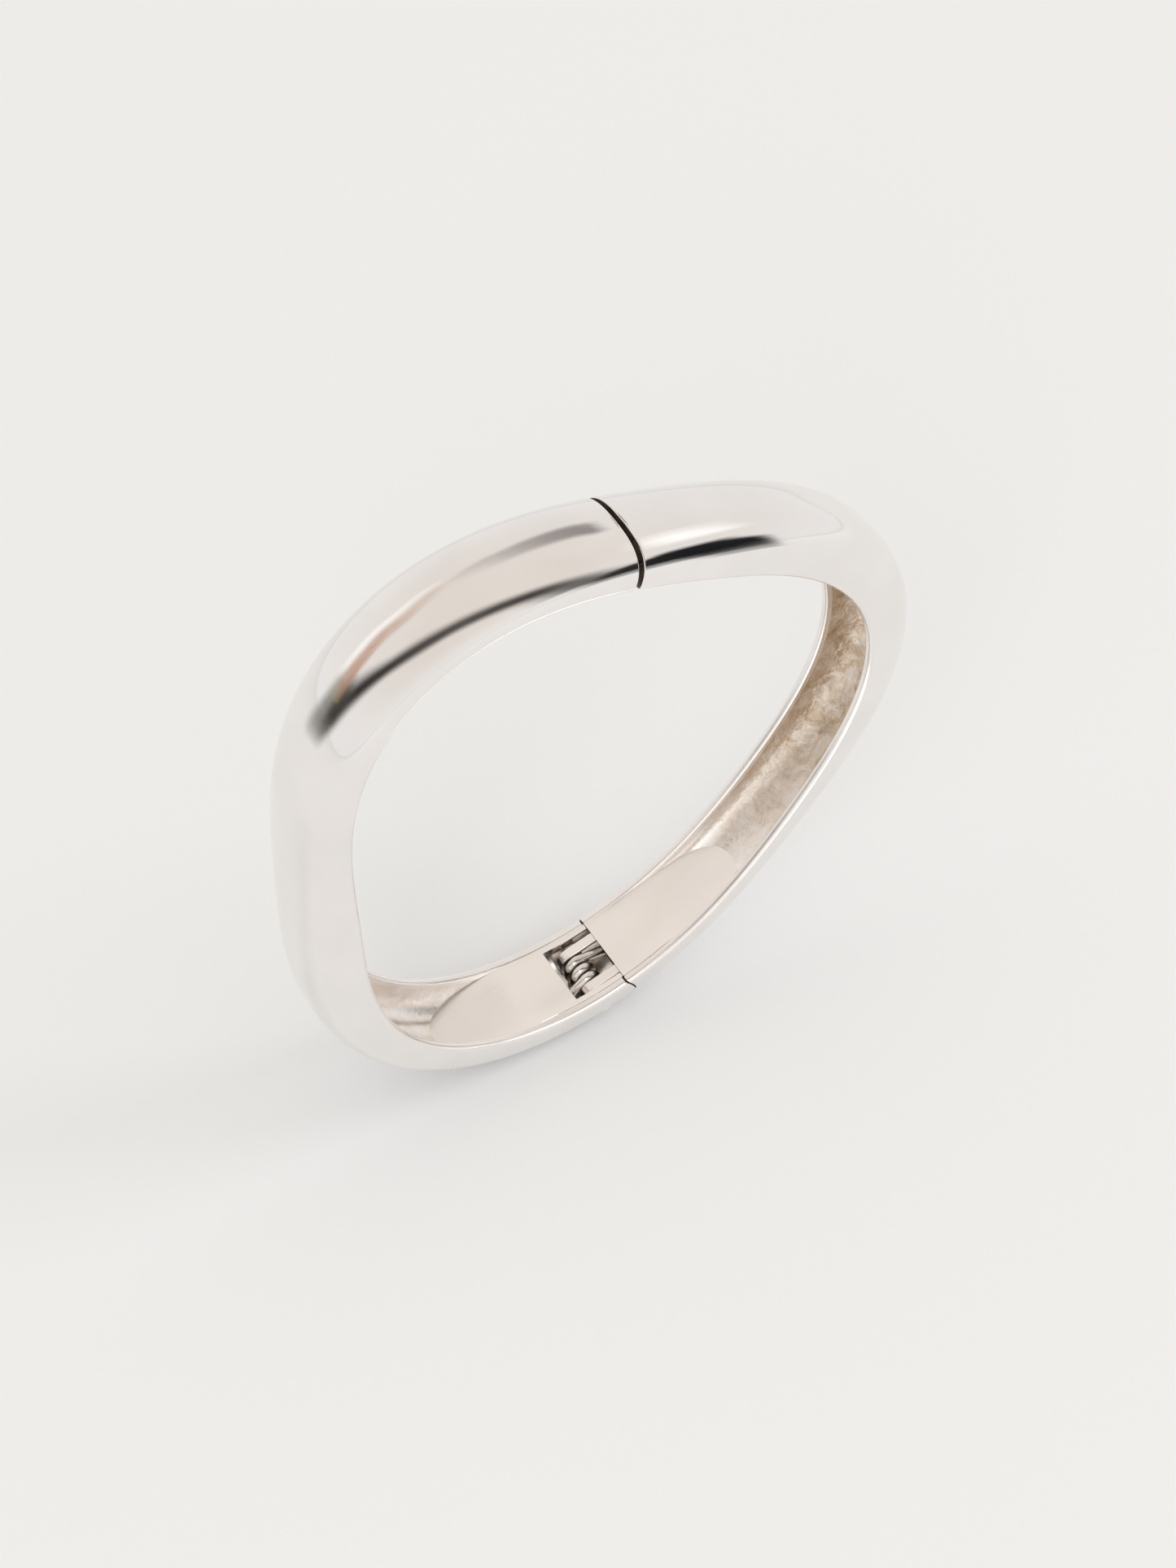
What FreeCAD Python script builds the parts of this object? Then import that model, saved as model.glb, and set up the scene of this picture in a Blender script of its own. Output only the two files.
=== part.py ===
import FreeCAD, Part
import math
import os
import Sketcher

os.makedirs("parts", exist_ok=True)

# Hinged bangle bracelet with a spring hinge.
# It stands on its hinge: +Z runs from the hinge up to the clasp gap, +X to the right half,
# and the ring's axis is Y.  The origin is the middle of the wrist opening.
# The inner rim is a flat polar curve r(t), with t measured from the clasp round to the right.
# Every cross-section stands square to that curve: x points outwards, y runs across the band.

DIMENSIONS = [
    # ring outline, mm
    ("wrist_radius", 27.5),
    ("side_shift", -3.33),
    ("oval_even", 0.25),
    ("oval_side", 0.19),
    ("lobe_even", -0.94),
    ("lobe_side", -1.93),
    ("square_even", -0.55),
    ("square_side", -0.14),
    ("ripple_side", 0.17),
    # band section, mm
    ("band_width", 9.65),
    ("width_taper", 0.60),
    ("width_oval", 0.14),
    ("width_lean", -1.15),
    ("dome_height", 4.37),
    ("dome_oval", -0.52),
    ("dome_lean", 0.38),
    ("dome_skew", 0.99),
    ("side_share", 0.33),
    ("shoulder_share", 0.50),
    ("rim_width", 1.00),
    ("wall", 1.00),
    # clasp gap and end caps
    ("clasp_gap", 0.50),
    ("cap_thickness", 0.80),
    ("cap_inset", 1.05),
    ("cap_drop", 1.05),
    # smooth plates let in between the rims beside the hinge
    ("plate_drop", 0.10),
    ("plate_thickness", 0.80),
    ("plate_play", 0.05),
    ("plate_turn", 32.0),
    ("plate_dip", 0.70),
    ("plate_thin", 0.30),
    ("plate_narrow", 1.75),
    # hinge
    ("pin_inset", 2.80),
    ("pin_depth", 1.85),
    ("pin_radius", 0.40),
    ("pin_length", 9.10),
    ("pin_play", 0.04),
    ("press_play", 0.01),
    ("joint_gap", 0.12),
    ("window_width", 6.20),
    ("window_reach", 1.95),
    ("pocket_radius", 1.66),
    ("lug_radius", 1.40),
    ("lug_thickness", 1.05),
    ("lug_spacing", 3.40),
    ("arm_under", 0.90),
    ("arm_reach", 3.80),
    # torsion spring
    ("wire_radius", 0.46),
    ("coil_radius", 1.05),
    ("coil_pitch", 1.12),
    ("leg_length", 3.40),
    ("leg_slope", 20.0),
]
VALUE = dict(DIMENSIONS)

STATIONS = 12          # spans between cross-sections in each half
OVERRUN = 2.4          # degrees the halves run past the hinge before the joint is cut
BENT_SHARE = 0.35      # share of an inner plate that bends down into the channel
THROUGH = 1.0          # how far the channel cutter stands proud of the inner surface
SPRING_TURN = 720.0 + 2.0 * VALUE["leg_slope"]

V = FreeCAD.Vector

doc = FreeCAD.newDocument("bangle")
sheet = doc.addObject("Spreadsheet::Sheet", "Dims")
for row, (alias, value) in enumerate(DIMENSIONS, start=1):
    sheet.set("A%d" % row, alias)
    sheet.set("B%d" % row, str(value))
    sheet.setAlias("B%d" % row, alias)
doc.recompute()

# harmonic number, cosine alias, sine alias
OUTLINE = [
    (1, None, "side_shift"),
    (2, "oval_even", "oval_side"),
    (3, "lobe_even", "lobe_side"),
    (4, "square_even", "square_side"),
    (5, None, "ripple_side"),
]


def radius_text(angle):
    """Distance from the origin to the inner rim at a polar angle, as an expression."""
    terms = ["Dims.wrist_radius"]
    for order, even, side in OUTLINE:
        turn = "%d * (%s)" % (order, angle)
        if even:
            terms.append("Dims.%s * cos(%s)" % (even, turn))
        terms.append("Dims.%s * sin(%s)" % (side, turn))
    return " + ".join(terms)


def slope_text(angle):
    """Rate of change of that distance for each radian."""
    terms = []
    for order, even, side in OUTLINE:
        turn = "%d * (%s)" % (order, angle)
        if even:
            terms.append("-%d * Dims.%s * sin(%s)" % (order, even, turn))
        terms.append("%d * Dims.%s * cos(%s)" % (order, side, turn))
    return " + ".join(terms).replace("+ -", "- ")


def frame_text(angle, quarter):
    """Placement on the inner rim, square to it; quarter turns x outwards."""
    reach = "(%s)" % radius_text(angle)
    lean = "atan2(%s; %s)" % (slope_text(angle), radius_text(angle))
    base = "create(<<vector>>; %s * sin(%s); 0; %s * cos(%s))" % (reach, angle, reach, angle)
    turn = "(%s) - %s - %s" % (angle, lean, quarter)
    return ("create(<<placement>>; %s; create(<<rotation>>; create(<<vector>>; 0; 1; 0); %s))"
            % (base, turn))


def width_text(angle):
    return ("Dims.band_width + Dims.width_taper * cos(%s) + Dims.width_oval * cos(2 * %s)"
            " + Dims.width_lean * sin(%s)" % (angle, angle, angle))


def height_text(angle):
    return ("Dims.dome_height + Dims.dome_oval * cos(2 * %s) + Dims.dome_lean * sin(%s)"
            " + Dims.dome_skew * sin(2 * %s)" % (angle, angle, angle))


def band_size(degrees):
    """Width and dome height of the band at a polar angle, as numbers."""
    t = math.radians(degrees)
    width = (VALUE["band_width"] + VALUE["width_taper"] * math.cos(t)
             + VALUE["width_oval"] * math.cos(2 * t) + VALUE["width_lean"] * math.sin(t))
    height = (VALUE["dome_height"] + VALUE["dome_oval"] * math.cos(2 * t)
              + VALUE["dome_lean"] * math.sin(t) + VALUE["dome_skew"] * math.sin(2 * t))
    return width, height


def place_on_rim(sketch, degrees):
    angle = "%.4f deg" % degrees
    sketch.setExpression("Placement", frame_text(angle, "90 deg"))
    return angle


def link_corners(sketch, count):
    """Join the end of each edge to the start of the next, all the way round."""
    for i in range(count):
        sketch.addConstraint(Sketcher.Constraint("Coincident", i, 2, (i + 1) % count, 1))


def bind(sketch, kind, arguments, value, expression):
    """Add a sized constraint and tie it to the sheet."""
    index = sketch.addConstraint(Sketcher.Constraint(kind, *arguments, value))
    sketch.setExpression("Constraints[%d]" % index, expression)


def dome_section(name, degrees, inset, start, side_share, shoulder_share, drop):
    """D-shaped section: straight sides, round shoulders and a wide crown arc.

    inset is taken off each side and drop off the crown; start is where its flat base lies.
    """
    width, height = band_size(degrees)
    half = width / 2.0 - VALUE.get(inset, 0.0)
    top = height - VALUE.get(drop, 0.0)
    side = side_share * height
    shoulder = shoulder_share * height
    rise = top - side
    crown = ((half - shoulder) ** 2 + rise ** 2 - shoulder ** 2) / (2.0 * (rise - shoulder))
    centre = top - crown
    lean = math.atan2(half - shoulder, side - centre)
    sketch = doc.addObject("Sketcher::SketchObject", name)
    normal = V(0, 0, 1)
    ring = Part.Circle(V(side, half - shoulder, 0), normal, shoulder)
    crown_ring = Part.Circle(V(centre, 0, 0), normal, crown)
    low_ring = Part.Circle(V(side, shoulder - half, 0), normal, shoulder)
    geometry = [
        Part.LineSegment(V(start, half, 0), V(start, -half, 0)),
        Part.LineSegment(V(start, -half, 0), V(side, -half, 0)),
        Part.ArcOfCircle(low_ring, -math.pi / 2.0, -lean),
        Part.ArcOfCircle(crown_ring, -lean, lean),
        Part.ArcOfCircle(ring, lean, math.pi / 2.0),
        Part.LineSegment(V(side, half, 0), V(start, half, 0)),
    ]
    sketch.addGeometry(geometry, False)
    constraints = [
        Sketcher.Constraint("Coincident", 0, 2, 1, 1),
        Sketcher.Constraint("Tangent", 1, 2, 2, 1),
        Sketcher.Constraint("Tangent", 2, 2, 3, 1),
        Sketcher.Constraint("Tangent", 3, 2, 4, 1),
        Sketcher.Constraint("Tangent", 4, 2, 5, 1),
        Sketcher.Constraint("Coincident", 5, 2, 0, 1),
        Sketcher.Constraint("Horizontal", 1),
        Sketcher.Constraint("Horizontal", 5),
        Sketcher.Constraint("PointOnObject", 3, 3, -1),
        Sketcher.Constraint("Symmetric", 0, 1, 0, 2, -1),
        Sketcher.Constraint("Equal", 2, 4),
    ]
    sketch.addConstraint(constraints)
    angle = place_on_rim(sketch, degrees)
    tall = "(%s)" % height_text(angle)
    wide = "%s%s" % (width_text(angle), " - 2 * Dims.%s" % inset if inset else "")
    peak = "%s%s" % (tall, " - Dims.%s" % drop if drop else "")
    bind(sketch, "DistanceY", (0, 2, 0, 1), 2.0 * half, wide)
    bind(sketch, "DistanceX", (-1, 1, 1, 2), side, "%g * %s" % (side_share, tall))
    bind(sketch, "Radius", (2,), shoulder, "%g * %s" % (shoulder_share, tall))
    if start:
        constraint = Sketcher.Constraint("DistanceX", -1, 1, 0, 1, start)
        sketch.addConstraint(constraint)
    else:
        sketch.addConstraint(Sketcher.Constraint("PointOnObject", 0, 1, -2))
    spread = "(%s) / 2 - %g * %s" % (wide, shoulder_share, tall)
    lift = "(%s - %g * %s)" % (peak, side_share, tall)
    round_text = "%g * %s" % (shoulder_share, tall)
    crown_text = ("((%s) * (%s) + %s * %s - (%s) * (%s)) / (2 * (%s - %s))"
                  % (spread, spread, lift, lift, round_text, round_text, lift, round_text))
    bind(sketch, "Radius", (3,), crown, crown_text)
    return sketch


def plate_section(name, degrees, sink):
    """Oblong section of an inner plate; sink runs from 0 beside the rims to 1 at the bent end."""
    wide, tall = band_size(degrees)
    half = wide / 2.0 - VALUE["rim_width"] - VALUE["plate_play"] - sink * VALUE["plate_narrow"]
    near = VALUE["plate_drop"] + sink * VALUE["plate_dip"] * (tall - VALUE["wall"])
    far = near + VALUE["plate_thickness"] - sink * VALUE["plate_thin"]
    sketch = doc.addObject("Sketcher::SketchObject", name)
    corners = [V(near, half, 0), V(near, -half, 0), V(far, -half, 0), V(far, half, 0)]
    edges = [Part.LineSegment(corners[i], corners[(i + 1) % 4]) for i in range(4)]
    sketch.addGeometry(edges, False)
    link_corners(sketch, 4)
    sketch.addConstraint(Sketcher.Constraint("Horizontal", 1))
    sketch.addConstraint(Sketcher.Constraint("Vertical", 2))
    sketch.addConstraint(Sketcher.Constraint("Symmetric", 0, 1, 0, 2, -1))
    angle = place_on_rim(sketch, degrees)
    wide_text = ("%s - 2 * (Dims.rim_width + Dims.plate_play + %g * Dims.plate_narrow)"
                 % (width_text(angle), sink))
    near_text = ("Dims.plate_drop + %g * Dims.plate_dip * (%s - Dims.wall)"
                 % (sink, height_text(angle)))
    bind(sketch, "DistanceY", (0, 2, 0, 1), 2.0 * half, wide_text)
    bind(sketch, "DistanceX", (-1, 1, 0, 1), near, near_text)
    bind(sketch, "DistanceX", (1, 1, 1, 2), far - near,
         "Dims.plate_thickness - %g * Dims.plate_thin" % sink)
    sketch.addConstraint(Sketcher.Constraint("Horizontal", 3))
    return sketch


def loft(name, sections):
    body = doc.addObject("Part::Loft", name)
    body.Sections = sections
    body.Solid = True
    body.Ruled = False
    return body


def spaced(first, last, spans):
    return [first + (last - first) * i / spans for i in range(spans + 1)]


def cut(name, base, tool):
    body = doc.addObject("Part::Cut", name)
    body.Base = base
    body.Tool = tool
    return body


def fuse(name, shapes):
    body = doc.addObject("Part::MultiFuse", name)
    body.Shapes = shapes
    return body


# ---- the two half shells -------------------------------------------------------------

# angle each half starts at, half of the clasp gap away from the top of the ring
rim_at_clasp = VALUE["wrist_radius"] + VALUE["oval_even"] + VALUE["lobe_even"] + VALUE["square_even"]
gap_turn = math.degrees(VALUE["clasp_gap"] / 2.0 / rim_at_clasp)
HALVES = {
    "right": (gap_turn, 180.0 + OVERRUN / 2.0),
    "left": (360.0 - gap_turn, 180.0 - OVERRUN),
}


def hollow_band(side):
    first, last = HALVES[side]
    outer = []
    channel = []
    for i, degrees in enumerate(spaced(first, last, STATIONS)):
        outer.append(dome_section("%s_outer_%d" % (side, i), degrees, "", 0.0,
                                  VALUE["side_share"], VALUE["shoulder_share"], ""))
    # the channel cutter runs a little past both ends so that they are left open
    spill = 1.0 if last > first else -1.0
    for i, degrees in enumerate(spaced(first - spill, last + spill, STATIONS)):
        channel.append(dome_section("%s_channel_%d" % (side, i), degrees, "rim_width", -THROUGH,
                                    0.30, 0.36, "wall"))
    band = loft("%s_band" % side, outer)
    hollow = loft("%s_hollow" % side, channel)
    return cut("%s_cast_band" % side, band, hollow)


# ---- hinge tools, drawn about the joint line: x along the band, z towards the wrist ----

HINGE_FRAME = frame_text("180 deg", "180 deg")
JOINT_RADIUS = "sqrt(Dims.pin_inset ^ 2 + Dims.pin_depth ^ 2)"


def moved(base, turn="create(<<rotation>>; create(<<vector>>; 0; 1; 0); 0 deg)"):
    return "create(<<placement>>; create(<<vector>>; %s; %s; %s); %s)" % (*base, turn)


def turned(axis, angle):
    return "create(<<rotation>>; create(<<vector>>; %s); %s)" % (axis, angle)


# the pin's own frame: z runs along the pin towards the front rim, x along the band
PIN_FRAME = "%s * %s" % (HINGE_FRAME, moved(("-Dims.pin_inset", "0", "-Dims.pin_depth"),
                                            turned("1; 0; 0", "90 deg")))


def pin_cylinder(name, radius, length, centre="0"):
    """Cylinder on the pin's axis, with its middle a distance centre along it."""
    body = doc.addObject("Part::Cylinder", name)
    body.setExpression("Radius", radius)
    body.setExpression("Height", length)
    start = "%s - (%s) / 2" % (centre, length)
    body.setExpression("Placement", "%s * %s" % (PIN_FRAME, moved(("0", "0", start))))
    return body


def hinge_box(name, size, corner):
    """Box in the hinge's own frame; size and corner are three expressions each."""
    body = doc.addObject("Part::Box", name)
    for prop, text in zip(("Length", "Width", "Height"), size):
        body.setExpression(prop, text)
    body.setExpression("Placement", "%s * %s" % (HINGE_FRAME, moved(corner)))
    return body


def joint_trim(name):
    """All that lies right of the pin and outside the joint's cylinder."""
    block = hinge_box(name + "_block", ("8", "16", "14"), ("-Dims.pin_inset", "-8", "-9"))
    core = pin_cylinder(name + "_core", "%s - Dims.joint_gap / 2" % JOINT_RADIUS, "18")
    return cut(name, block, core)


def joint_socket(name):
    """The same cylinder a joint gap larger, with all that lies behind the pin."""
    core = pin_cylinder(name + "_round", "%s + Dims.joint_gap / 2" % JOINT_RADIUS, "18")
    behind = hinge_box(name + "_behind", ("5", "16", "14"), ("-Dims.pin_inset - 5", "-8", "-9"))
    return fuse(name, [core, behind])


left_cutter = fuse("left_cutter", [
    joint_trim("left_trim"),
    pin_cylinder("spring_pocket", "Dims.pocket_radius", "Dims.window_width"),
    pin_cylinder("pin_bore", "Dims.pin_radius + Dims.press_play", "18"),
])
left_half_shell = cut("left_half_shell", hollow_band("left"), left_cutter)
right_half_shell = cut("right_half_shell", hollow_band("right"), joint_socket("right_socket"))

# ---- inner plates beside the hinge -----------------------------------------------------


def plate_loft(name, first, last):
    """Plate that lies flush with the rims and bends down into the channel over its last stretch."""
    bend = last + (first - last) * BENT_SHARE
    stations = [(degrees, 0.0) for degrees in spaced(first, bend, 4)]
    stations += [(bend + (last - bend) * share, share ** 2) for share in spaced(0.0, 1.0, 4)[1:]]
    sections = [plate_section("%s_section_%d" % (name, i), degrees, sink)
                for i, (degrees, sink) in enumerate(stations)]
    return loft(name, sections)


window = hinge_box("window", ("8", "Dims.window_width", "6"),
                   ("-Dims.pin_inset - Dims.window_reach", "-Dims.window_width / 2", "-4"))
plate_cutter = fuse("plate_cutter", [window, joint_trim("plate_trim")])
left_strip = plate_loft("left_strip", 180.0 - OVERRUN, 180.0 + VALUE["plate_turn"])
left_hinge_plate = cut("left_hinge_plate", left_strip, plate_cutter)

right_strip = plate_loft("right_strip", 180.0 + OVERRUN / 2.0, 180.0 - VALUE["plate_turn"])
right_plate = cut("right_plate", right_strip, joint_socket("leaf_socket"))

lug_parts = []
for label, sign in (("front", "-"), ("rear", "")):
    centre = "%s(Dims.lug_spacing + Dims.lug_thickness) / 2" % sign
    lug_parts.append(pin_cylinder("lug_round_%s" % label, "Dims.lug_radius",
                                  "Dims.lug_thickness", centre))
    lug_parts.append(hinge_box(
        "lug_arm_%s" % label,
        ("Dims.arm_reach", "Dims.lug_thickness", "Dims.lug_radius - Dims.arm_under"),
        ("-Dims.pin_inset", "%s - Dims.lug_thickness / 2" % centre,
         "-Dims.pin_depth + Dims.arm_under")))
lug_bore = pin_cylinder("lug_bore", "Dims.pin_radius + Dims.pin_play", "18")
lugs = cut("lugs", fuse("lug_blank", lug_parts), lug_bore)
right_hinge_leaf = fuse("right_hinge_leaf", [right_plate, lugs])

# ---- pin and spring --------------------------------------------------------------------

hinge_pin = pin_cylinder("hinge_pin", "Dims.pin_radius", "Dims.pin_length")

# the wire runs twice round the pin, and its two legs bear up under the two plates
COIL_HEIGHT = "Dims.coil_pitch * %g / 360" % SPRING_TURN
COIL_FRAME = "%s * %s" % (PIN_FRAME, moved(("0", "0", "-%s / 2" % COIL_HEIGHT),
                                           turned("0; 0; 1", "90 deg - Dims.leg_slope * 1 deg")))
helix = doc.addObject("Part::Helix", "coil_path")
helix.setExpression("Radius", "Dims.coil_radius")
helix.setExpression("Pitch", "Dims.coil_pitch")
helix.setExpression("Height", COIL_HEIGHT)
wire = doc.addObject("Part::Circle", "wire_section")
wire.setExpression("Radius", "Dims.wire_radius")
wire.setExpression("Placement", moved(("Dims.coil_radius", "0", "0"), turned("1; 0; 0", "90 deg")))
coil = doc.addObject("Part::Sweep", "coil")
coil.Sections = [wire]
coil.Spine = (helix, ["Edge1"])
coil.Solid = True
coil.Frenet = True


def spring_leg(name, turn, height, facing):
    """Straight wire leaving the coil along its tangent."""
    leg = doc.addObject("Part::Cylinder", name)
    leg.setExpression("Radius", "Dims.wire_radius")
    leg.setExpression("Height", "Dims.leg_length")
    start = ("Dims.coil_radius * cos(%s)" % turn, "Dims.coil_radius * sin(%s)" % turn, height)
    heading = "%s * %s" % (turned("0; 0; 1", turn), turned("1; 0; 0", "%d deg" % facing))
    leg.setExpression("Placement", moved(start, heading))
    return leg


torsion_spring = fuse("torsion_spring", [
    coil,
    spring_leg("first_leg", "0 deg", "0", 90),
    spring_leg("last_leg", "%g deg" % SPRING_TURN, COIL_HEIGHT, -90),
])
torsion_spring.setExpression("Placement", COIL_FRAME)

# ---- end caps at the clasp -------------------------------------------------------------


def end_cap(side):
    first, last = HALVES[side]
    section = dome_section("%s_cap_section" % side, first, "cap_inset", VALUE["plate_drop"],
                           0.30, 0.36, "cap_drop")
    cap = doc.addObject("Part::Extrusion", "%s_end_cap" % side)
    cap.Base = section
    cap.DirMode = "Normal"
    cap.Solid = True
    cap.Reversed = side == "right"
    cap.setExpression("LengthFwd", "Dims.cap_thickness")
    return cap


NODES = {
    "left_half_shell": left_half_shell,
    "left_hinge_plate": left_hinge_plate,
    "left_end_cap": end_cap("left"),
    "hinge_pin": hinge_pin,
    "torsion_spring": torsion_spring,
    "right_half_shell": right_half_shell,
    "right_hinge_leaf": right_hinge_leaf,
    "right_end_cap": end_cap("right"),
}

doc.recompute()

for item in doc.Objects:
    if "Invalid" in item.State or "Error" in item.State:
        raise RuntimeError("%s is %s" % (item.Name, item.State))
for label, node in NODES.items():
    node.Label = label
    shape = node.Shape
    if shape.isNull() or not shape.isValid() or len(shape.Solids) != 1:
        raise RuntimeError("%s: %d solids, valid %s" % (label, len(shape.Solids), shape.isValid()))
    shape.exportStep("parts/%s.step" % label)
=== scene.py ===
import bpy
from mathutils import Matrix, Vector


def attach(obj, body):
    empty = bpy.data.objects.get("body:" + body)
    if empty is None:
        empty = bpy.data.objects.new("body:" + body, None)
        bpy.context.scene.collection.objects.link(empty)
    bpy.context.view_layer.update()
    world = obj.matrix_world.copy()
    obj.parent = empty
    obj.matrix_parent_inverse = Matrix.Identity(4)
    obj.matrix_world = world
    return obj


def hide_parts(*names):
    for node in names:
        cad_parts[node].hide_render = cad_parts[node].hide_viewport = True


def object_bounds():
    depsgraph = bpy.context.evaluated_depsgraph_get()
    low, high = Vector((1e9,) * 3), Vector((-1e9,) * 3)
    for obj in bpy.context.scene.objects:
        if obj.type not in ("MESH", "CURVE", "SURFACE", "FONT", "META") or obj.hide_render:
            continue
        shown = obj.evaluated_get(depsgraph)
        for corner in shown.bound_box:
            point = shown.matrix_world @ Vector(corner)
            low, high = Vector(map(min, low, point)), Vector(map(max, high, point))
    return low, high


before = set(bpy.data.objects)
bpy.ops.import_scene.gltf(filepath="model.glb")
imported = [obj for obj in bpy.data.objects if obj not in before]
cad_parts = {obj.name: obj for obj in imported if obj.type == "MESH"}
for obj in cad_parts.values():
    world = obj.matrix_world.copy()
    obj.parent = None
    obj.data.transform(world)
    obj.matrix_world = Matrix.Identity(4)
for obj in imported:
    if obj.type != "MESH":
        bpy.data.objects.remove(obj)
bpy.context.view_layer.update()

import math

import bmesh
import bpy
import numpy as np
from mathutils import Matrix, Vector
from mathutils.geometry import delaunay_2d_cdt

MM = 0.001
PI = math.pi

# ---- the band, as in the CAD: t runs from the clasp round to the right, lengths in mm ----

PIN_X, PIN_DEPTH, PIN_R = -2.8, 1.85, 0.40
JOINT_R = math.hypot(PIN_X, PIN_DEPTH)
JOINT_GAP = 0.12
LEFT_JOINT_R = JOINT_R - JOINT_GAP / 2
RIGHT_JOINT_R = JOINT_R + JOINT_GAP / 2
CLASP_GAP = 0.50
RIM, WALL = 1.00, 1.00
LUG_R, LUG_THICK, LUG_SPACING, ARM_UNDER, ARM_REACH = 1.40, 1.05, 3.40, 0.90, 3.80
WINDOW_REACH, WINDOW_HALF = 1.95, 3.10
PLATE_DROP, PLATE_THICK, PLATE_TURN = 0.10, 0.80, math.radians(32.0)
# the plates bend down into the channel over their last stretch: (turn, power of the bend)
LEFT_BEND, RIGHT_BEND = (math.radians(18.0), 2.0), (math.radians(24.0), 1.7)
DISH = 0.05                        # how far a plate's middle is pressed below its edges
TUCK = 0.06                        # how far a plate's sides run on into the rims
CAP_PLAY, CAP_THICK = 0.05, 0.80
WIRE_R, COIL_R, COIL_PITCH = 0.46, 1.05, 1.12


def radius(t):
    return (27.5 - 3.33 * np.sin(t) + 0.25 * np.cos(2 * t) + 0.19 * np.sin(2 * t)
            - 0.94 * np.cos(3 * t) - 1.93 * np.sin(3 * t)
            - 0.55 * np.cos(4 * t) - 0.14 * np.sin(4 * t) + 0.17 * np.sin(5 * t))


def radius_rate(t):
    return (-3.33 * np.cos(t) - 0.50 * np.sin(2 * t) + 0.38 * np.cos(2 * t)
            + 2.82 * np.sin(3 * t) - 5.79 * np.cos(3 * t)
            + 2.20 * np.sin(4 * t) - 0.56 * np.cos(4 * t) + 0.85 * np.cos(5 * t))


def width(t):
    return 9.65 + 0.60 * np.cos(t) + 0.14 * np.cos(2 * t) - 1.15 * np.sin(t)


def height(t):
    return 4.37 - 0.52 * np.cos(2 * t) + 0.38 * np.sin(t) + 0.99 * np.sin(2 * t)


def on_band(t, across, out):
    """Row-frame point in mm: across runs along +Y, out is square to the inner rim."""
    r, d = radius(t), radius_rate(t)
    size = np.hypot(r, d)
    nx = (r * np.sin(t) - d * np.cos(t)) / size
    nz = (r * np.cos(t) + d * np.sin(t)) / size
    x = r * np.sin(t) + out * nx
    z = r * np.cos(t) + out * nz
    return np.stack([x, across + 0 * t, z], axis=-1)


HINGE_R = float(radius(PI))
HINGE_TILT = math.atan2(float(radius_rate(PI)), HINGE_R)
RUN = math.hypot(HINGE_R, float(radius_rate(PI)))      # mm of band for a radian at the hinge
HINGE = (Matrix.Translation(Vector((0, 0, -HINGE_R)))
         @ Matrix.Rotation(-HINGE_TILT, 4, "Y"))


def from_hinge(x, y, z):
    """Row-frame point in metres of a point in the hinge's own frame in mm."""
    return (HINGE @ Vector((x, y, z))) * MM


# ---- mesh helpers ------------------------------------------------------------------------


def add_mesh(name, verts, faces, materials, smooth=True, index=None):
    mesh = bpy.data.meshes.new(name)
    mesh.from_pydata([tuple(v) for v in verts], [], faces)
    for m in materials:
        mesh.materials.append(m)
    mesh.polygons.foreach_set("use_smooth", [smooth] * len(mesh.polygons))
    if index is not None:
        mesh.polygons.foreach_set("material_index", index)
    mesh.update()
    obj = bpy.data.objects.new(name, mesh)
    bpy.context.collection.objects.link(obj)
    return obj


def face_out(obj):
    bm = bmesh.new()
    bm.from_mesh(obj.data)
    bmesh.ops.recalc_face_normals(bm, faces=bm.faces)
    bm.to_mesh(obj.data)
    bm.free()


def soften(obj, width_mm, segments=3, angle=35.0):
    m = obj.modifiers.new("edge", "BEVEL")
    m.width = width_mm * MM
    m.segments = segments
    m.limit_method = "ANGLE"
    m.angle_limit = math.radians(angle)
    m.harden_normals = True
    return m


def keep_sharp_only(obj, weight, angle):
    """Clear the bevel weight of edges whose two faces meet nearly flat."""
    bm = bmesh.new()
    bm.from_mesh(obj.data)
    bm.edges.ensure_lookup_table()
    for edge, item in zip(bm.edges, weight.data):
        if len(edge.link_faces) == 2 and edge.calc_face_angle() < angle:
            item.value = 0.0
    bm.free()


def settle(obj, body, slot, *nodes):
    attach(obj, body)
    if nodes:
        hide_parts(*nodes)


# ---- materials -----------------------------------------------------------------------------


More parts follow.
